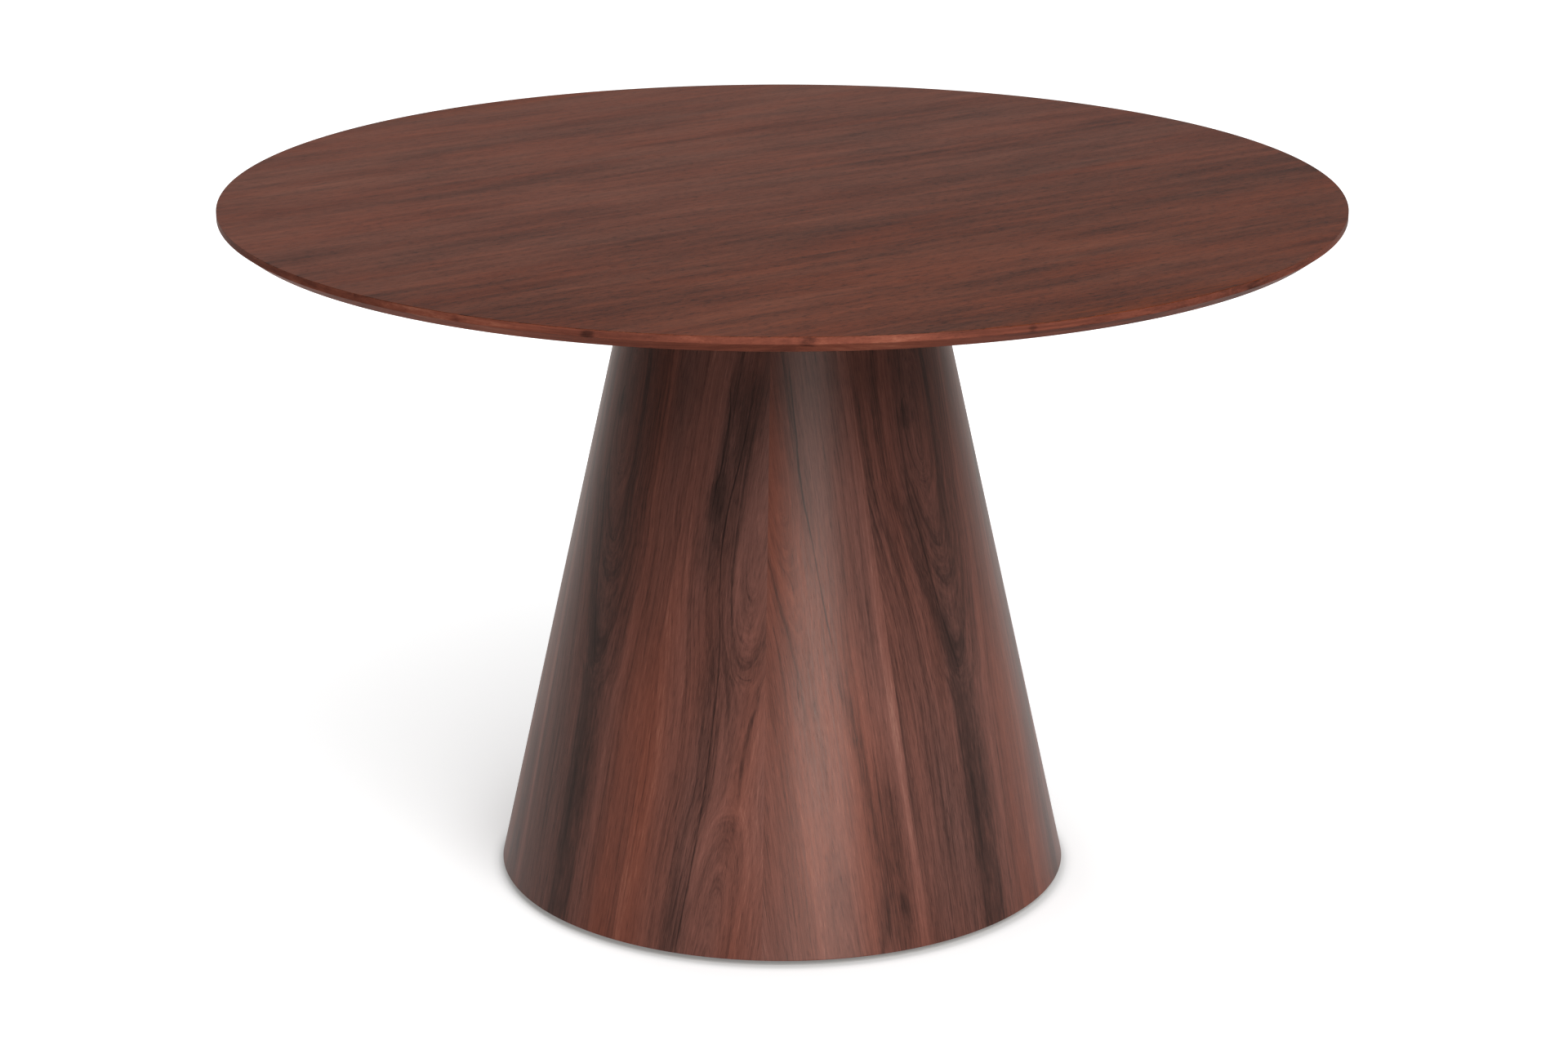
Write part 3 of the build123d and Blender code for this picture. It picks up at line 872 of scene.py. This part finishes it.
class PedestalTableSettings(bpy.types.PropertyGroup):
    """Sizes, colours and studio values that a user would change"""

    heart_dark: FloatVectorProperty(
        name="Heart dark", description="Darkest veins and knots", subtype="COLOR", default=srgb(40, 23, 20))
    vein_brown: FloatVectorProperty(
        name="Vein brown", description="Dark streaks of the wood", subtype="COLOR", default=srgb(68, 41, 35))
    walnut: FloatVectorProperty(
        name="Walnut", description="Middle tone of the wood", subtype="COLOR", default=srgb(102, 60, 50))
    walnut_red: FloatVectorProperty(
        name="Red walnut", description="Light warm wood", subtype="COLOR", default=srgb(124, 73, 60))
    sap_tan: FloatVectorProperty(
        name="Sap tan", description="Palest tone of the wood", subtype="COLOR", default=srgb(154, 102, 84))
    sheen: FloatVectorProperty(
        name="Sheen", description="Tint of the lacquer's sheen", subtype="COLOR", default=(1.0, 0.84, 0.76))
    roughness: FloatProperty(
        name="Roughness", description="Roughness of the satin lacquer", subtype="FACTOR", min=0, max=1,
        default=0.32)
    gloss: FloatProperty(
        name="Gloss", description="Strength of the lacquer's reflection", subtype="FACTOR", min=0, max=1,
        default=0.18)
    top_gloss: FloatProperty(
        name="Top gloss", description="Strength of the reflection on the top", subtype="FACTOR", min=0, max=1,
        default=0.03)
    rim_gloss: FloatProperty(
        name="Rim gloss", description="Strength of the reflection on the rim", subtype="FACTOR", min=0, max=1,
        default=0.008)
    leaf_width: FloatProperty(
        name="Leaf width", description="Width of a leaf of the top's veneer", unit="LENGTH", default=0.164)
    top_grain: FloatProperty(
        name="Top grain", description="Direction of the top's grain, from the right towards the back",
        subtype="ANGLE", default=math.radians(35))
    easing: FloatProperty(
        name="Easing", description="Radius that eases the edges of the wood", unit="LENGTH", default=0.4 * MM)
    easing_steps: IntProperty(
        name="Easing steps", description="Points on each eased edge", min=1, max=8, default=3)
    rim_steps: IntProperty(
        name="Rim steps", description="Steps round one arc of the rim", min=8, max=256, default=72)
    cone_steps: IntProperty(
        name="Cone steps", description="Steps round one sheet of the cone", min=8, max=256, default=72)
    camera_back: FloatProperty(
        name="Camera distance", description="Distance from the table's axis", unit="LENGTH", default=4.111)
    camera_height: FloatProperty(
        name="Camera height", description="Height above the floor", unit="LENGTH", default=1.6878)
    camera_pitch: FloatProperty(
        name="Camera pitch", description="Downward tilt of the camera", subtype="ANGLE",
        default=math.radians(17.508))
    camera_lens: FloatProperty(
        name="Lens", description="Focal length on a 36 mm sensor, in millimetres", default=90.2)
    camera_shift: FloatProperty(
        name="Camera shift", description="Sideways shift, as a share of the frame's width", default=0.00107)
    sky: FloatProperty(
        name="Sky", description="Strength of the even studio light", min=0, default=0.2)
    key: FloatProperty(
        name="Key", description="Power of the light at the front right", subtype="POWER", min=0, default=138)
    fill: FloatProperty(
        name="Fill", description="Power of the light at the back left", subtype="POWER", min=0, default=48)
    strip: FloatProperty(
        name="Strip", description="Power of the light mirrored in the cone", subtype="POWER", min=0,
        default=62)


# Pieces


class PEDESTAL_TABLE_OT_top(bpy.types.Operator):
    """Face veneer of the top, a thin disc with an eased corner"""

    bl_idname = "pedestal_table.top"
    bl_label = "Top"

    def execute(self, context):
        look = settings()
        points = [(0.0, RIM_HIGH), (RIM_RADIUS, RIM_HIGH, 0.0), (RIM_RADIUS, TOP_HIGH), (0.0, TOP_HIGH)]
        material = finish("Top walnut", flat_veneer, FACE_TONE, look.top_gloss)
        steps = len(LIPPINGS) * look.rim_steps
        piece = turned_piece("top_face", points, material, closed=False, Easing=look.easing, Steps=steps)
        stand_for(piece, "face_veneer", TABLE)
        backing = finish("Backing walnut", flat_veneer, BACKING_TONE, BACKING_GLOSS * look.top_gloss)
        paint_node("backing_veneer", backing)
        return {"FINISHED"}


class PEDESTAL_TABLE_OT_rim(bpy.types.Operator):
    """Arcs of solid lipping, with an upright face and an undercut bevel"""

    bl_idname = "pedestal_table.rim"
    bl_label = "Rim"

    def execute(self, context):
        look = settings()
        points = [
            (CORE_RADIUS, RIM_LOW), (UNDERCUT_RADIUS, RIM_LOW), (RIM_RADIUS, FACE_LOW),
            (RIM_RADIUS, RIM_HIGH, 0.0), (CORE_RADIUS, RIM_HIGH),
        ]
        material = finish("Rim walnut", lipping_wood)
        for number, node in enumerate(LIPPINGS):
            start, sweep = azimuth_range(node)
            shift = tuple(number * step for step in LIPPING_STEP)
            inputs = {"Easing": look.easing, "Start": start, "Sweep": sweep, "Steps": look.rim_steps,
                      "Grain shift": shift, "Tone": LIPPING_TONES[number]}
            piece = turned_piece(f"rim_{number + 1}", points, material, **inputs)
            stand_for(piece, node, TABLE)
        return {"FINISHED"}


class PEDESTAL_TABLE_OT_cone(bpy.types.Operator):
    """Sheets of veneer round the cone, with the grain of each sheet straight when it is laid flat"""

    bl_idname = "pedestal_table.cone"
    bl_label = "Cone"

    def execute(self, context):
        look = settings()
        points = [
            (FOOT_RADIUS, CONE_LOW), (HEAD_RADIUS, CONE_HIGH),
            (HEAD_INNER, CONE_HIGH), (FOOT_INNER, CONE_LOW),
        ]
        slant = FOOT_RADIUS / math.sin(LEAN)
        material = finish("Cone walnut", cone_veneer)
        for number, node in enumerate(SHEETS):
            start, sweep = azimuth_range(node)
            inputs = {"Easing": CONE_EASING * look.easing, "Start": start, "Sweep": sweep, "Lean": LEAN,
                      "Steps": look.cone_steps, "Grain shift": (SHEET_SHIFTS[number] * MM, slant, 0.0)}
            piece = turned_piece(f"cone_sheet_{number + 1}", points, material, **inputs)
            stand_for(piece, node, TABLE)
        return {"FINISHED"}


class PEDESTAL_TABLE_OT_frame(bpy.types.Operator):
    """Boards, plies and battens inside the table, and its steel fastenings"""

    bl_idname = "pedestal_table.frame"
    bl_label = "Inner frame"

    def execute(self, context):
        birch = (srgb(206, 172, 128), srgb(164, 122, 80))
        raw = (srgb(176, 142, 100), srgb(142, 108, 72))
        stained = (srgb(66, 42, 35), srgb(44, 28, 24))
        finishes = {
            finish("Frame plies", layered_board, *birch, 2.1 * MM, False):
                ["head_plate", "base_ring", "former_1", "former_2"],
            finish("Bent plies", layered_board, *birch, 1.5 * MM, True):
                [f"shell_quarter_{k}" for k in range(1, 5)],
            finish("Raw fibreboard", pressed_board, *raw): ["top_panel"],
            finish("Stained fibreboard", pressed_board, *stained): ["stiffening_disc"],
            finish("Planed softwood", softwood): [f"seam_batten_{k}" for k in range(1, 5)],
            steel(): ["top_nuts", "top_bolts", "bolt_washers", "foot_nuts"],
        }
        for material, nodes in finishes.items():
            for node in nodes:
                paint_node(node, material)
        return {"FINISHED"}


class PEDESTAL_TABLE_OT_screws(bpy.types.Operator):
    """Countersunk screws with a cross recess, driven up through the disc into the top"""

    bl_idname = "pedestal_table.screws"
    bl_label = "Screws"

    def execute(self, context):
        screws = corners("disc_screws")
        low, tip = min(z for r, z in screws), max(z for r, z in screws)
        heads = [r for r, z in screws if z < low + NEAR]
        tips = [r for r, z in screws if z > tip - NEAR]
        head, circle = (max(heads) - min(heads)) / 2, sum(tips) / len(tips)
        crest = head / 2
        root = crest - SCREW_DEPTH
        neck = low + head - crest
        thread_low = neck + SCREW_PLAIN_SHARE * (tip - neck)
        thread_high = tip - SCREW_POINT_RADII * crest
        turns = math.ceil((thread_high - thread_low) / SCREW_PITCH) + SPARE_TURNS
        points = [
            (0.0, low), (head, low), (crest, neck), (crest, thread_low - SCREW_DEPTH), (root, thread_low),
        ]
        inputs = {
            "Easing": SCREW_EASING * settings().easing, "Low": thread_low, "High": thread_high, "Tip": tip,
            "Root": root, "Crest": crest, "Pitch": SCREW_PITCH, "Turns": turns, "Steps": SCREW_STEPS,
            "Recess": SCREW_CROSS, "Recess height": low, "Material": steel(),
        }
        tree = threaded_tree("Cross-head screw", CROSSED)
        pattern = sectioned_piece("screw_pattern", tree, points, False, inputs)
        inputs = {"Piece": pattern, "Count": SCREW_COUNT, "Circle": circle, "Seed": SCREW_SEED,
                  "Material": steel()}
        piece = new_object("wood_screws", grown_mesh("wood_screws", ring_tree("Ring of screws"), inputs))
        bpy.data.objects.remove(pattern)
        stand_for(piece, "disc_screws", TABLE)
        return {"FINISHED"}


class PEDESTAL_TABLE_OT_feet(bpy.types.Operator):
    """Threaded stems and moulded pads of the levelling feet"""

    bl_idname = "pedestal_table.feet"
    bl_label = "Feet"

    def execute(self, context):
        tree = threaded_tree("Slotted stem", SLOTTED)
        for number in range(1, FOOT_COUNT + 1):
            self.stem(tree, number)
            paint_node(f"foot_pad_{number}", finish("Moulded plastic", pad_plastic))
        return {"FINISHED"}

    def stem(self, tree, number):
        """Stem with a round end that turns in its pad, and a slot at its top."""
        node = f"foot_stem_{number}"
        low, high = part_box(node)
        axis = ((low.x + high.x) / 2, (low.y + high.y) / 2, 0.0)
        places = [v.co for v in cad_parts[node].data.vertices]
        points = [(math.hypot(place.x - axis[0], place.y - axis[1]), place.z) for place in places]
        flange = max(r for r, z in points)
        flange_high = max(z for r, z in points if r > flange - NEAR)
        crest = max(r for r, z in points if z > flange_high + NEAR)
        root = crest - STEM_DEPTH
        turns = math.ceil((high.z - flange_high) / STEM_PITCH) + SPARE_TURNS
        section = [(0.0, low.z), (flange, low.z), (flange, flange_high), (root, flange_high)]
        inputs = {
            "Easing": settings().easing, "Low": flange_high, "High": high.z, "Tip": high.z, "Root": root,
            "Crest": crest, "Pitch": STEM_PITCH, "Turns": turns, "Steps": STEM_STEPS, "Axis": axis,
            "Recess": STEM_SLOT, "Recess height": high.z, "Material": steel(),
        }
        piece = sectioned_piece(f"threaded_stem_{number}", tree, section, False, inputs)
        stand_for(piece, node, node)


class PEDESTAL_TABLE_OT_studio(bpy.types.Operator):
    """Pale floor, soft light and the camera"""

    bl_idname = "pedestal_table.studio"
    bl_label = "Studio"

    def execute(self, context):
        look = settings()
        scene = context.scene
        scene.view_settings.view_transform = "Standard"
        self.floor()
        self.sky(look.sky)
        for name, light in LIGHTS.items():
            self.lamp(name, getattr(look, name), *light)
        lens = bpy.data.cameras.new("camera")
        lens.lens = look.camera_lens
        lens.sensor_width = SENSOR
        lens.sensor_fit = "HORIZONTAL"
        lens.shift_x = look.camera_shift
        camera = new_object("camera", lens)
        camera.location = (0.0, -look.camera_back, look.camera_height)
        camera.rotation_euler = (math.pi / 2 - look.camera_pitch, 0.0, 0.0)
        scene.camera = camera
        return {"FINISHED"}

    def seen(self, graph, mirrored_share):
        """Share of the white that a ray sees, and whether the ray was mirrored or let through."""
        rays = graph.wires("ShaderNodeLightPath")
        mirrored = graph.math("MAXIMUM", rays["Is Glossy Ray"], rays["Is Transmission Ray"])
        return graph.math("MAXIMUM", rays["Is Camera Ray"], mirrored * mirrored_share), mirrored

    def floor(self):
        """Floor, white to the camera and clear from below, that keeps the shadow, darkens towards the cone's
        foot as a painted contact shadow, and lights the underside.
        """
        reach = FLOOR_REACH
        mesh = bpy.data.meshes.new("floor")
        square = [(-reach, -reach, 0), (reach, -reach, 0), (reach, reach, 0), (-reach, reach, 0)]
        mesh.from_pydata(square, [], [(0, 1, 2, 3)])
        floor = new_object("floor", mesh)
        material = bpy.data.materials.new("floor")
        graph = cleared(material)
        x, y, _ = graph.split(graph.here())
        gap = (graph.length(x, y) - FOOT_RADIUS) / MM
        shown, mirrored = self.seen(graph, MIRRORED_FLOOR)
        # The grey and the glow fall towards the cone's foot: a painted contact shadow
        shaded_grey = graph.span(gap, *FLOOR_GREY_AND_CONTACT_SHADE)
        matt = graph.wire("ShaderNodeBsdfDiffuse", {"Color": graph.join(shaded_grey, shaded_grey, shaded_grey)})
        strength = shown * graph.curve(gap, FLOOR_GLOW_AND_SHADOW) + graph.span(gap, *UNDER_GLOW)
        colour = graph.colour_mix(mirrored, WHITE, WARM_FLOOR)
        glow = graph.wire("ShaderNodeEmission", {"Color": colour, "Strength": strength})
        both = graph.wire("ShaderNodeAddShader", {0: matt, 1: glow})
        below = graph.wire("ShaderNodeNewGeometry", output="Backfacing")
        inputs = {"Fac": below, 1: both, 2: graph.wire("ShaderNodeBsdfTransparent")}
        graph.node("ShaderNodeOutputMaterial", {"Surface": graph.wire("ShaderNodeMixShader", inputs)})
        mesh.materials.append(material)

    def sky(self, strength):
        """Even light from all round, white to the camera."""
        world = bpy.data.worlds.new("studio")
        bpy.context.scene.world = world
        graph = cleared(world)
        shown, _ = self.seen(graph, MIRRORED_SKY)
        inputs = {"Color": (*WHITE, 1.0), "Strength": graph.math("MAXIMUM", shown, strength)}
        graph.node("ShaderNodeOutputWorld", {"Surface": graph.wire("ShaderNodeBackground", inputs)})

    def lamp(self, name, power, place, size, mirrored):
        """Rectangular light that faces the table and isn't seen itself: a soft one, or one only mirrored."""
        light = bpy.data.lights.new(name, "AREA")
        light.shape = "RECTANGLE"
        light.size, light.size_y = size
        light.energy = power
        lamp = new_object(name, light)
        lamp.location = place
        tilt = math.atan2(math.hypot(place[0], place[1]), place[2] - LIGHT_AIM)
        lamp.rotation_euler = (tilt, 0.0, math.atan2(place[1], place[0]) + math.pi / 2)
        lamp.visible_camera = False
        lamp.visible_glossy = mirrored
        lamp.visible_diffuse = not mirrored


class PEDESTAL_TABLE_PT_panel(bpy.types.Panel):
    """Sidebar panel that lists the pieces and their settings"""

    bl_label = "Pedestal Table"
    bl_space_type = "VIEW_3D"
    bl_region_type = "UI"
    bl_category = "Pedestal Table"

    def draw(self, context):
        for operator in OPERATORS:
            self.layout.operator(operator.bl_idname)
        for name in PedestalTableSettings.__annotations__:
            self.layout.prop(settings(), name)


OPERATORS = (
    PEDESTAL_TABLE_OT_top,
    PEDESTAL_TABLE_OT_rim,
    PEDESTAL_TABLE_OT_cone,
    PEDESTAL_TABLE_OT_frame,
    PEDESTAL_TABLE_OT_screws,
    PEDESTAL_TABLE_OT_feet,
    PEDESTAL_TABLE_OT_studio,
)
CLASSES = (PedestalTableSettings, *OPERATORS, PEDESTAL_TABLE_PT_panel)


def register():
    for item in CLASSES:
        bpy.utils.register_class(item)
    bpy.types.Scene.pedestal_table = PointerProperty(type=PedestalTableSettings)


def unregister():
    del bpy.types.Scene.pedestal_table
    for item in reversed(CLASSES):
        bpy.utils.unregister_class(item)


def main():
    register()
    bpy.ops.pedestal_table.top()
    bpy.ops.pedestal_table.rim()
    bpy.ops.pedestal_table.cone()
    bpy.ops.pedestal_table.frame()
    bpy.ops.pedestal_table.screws()
    bpy.ops.pedestal_table.feet()
    bpy.ops.pedestal_table.studio()


if __name__ == "__main__":
    main()
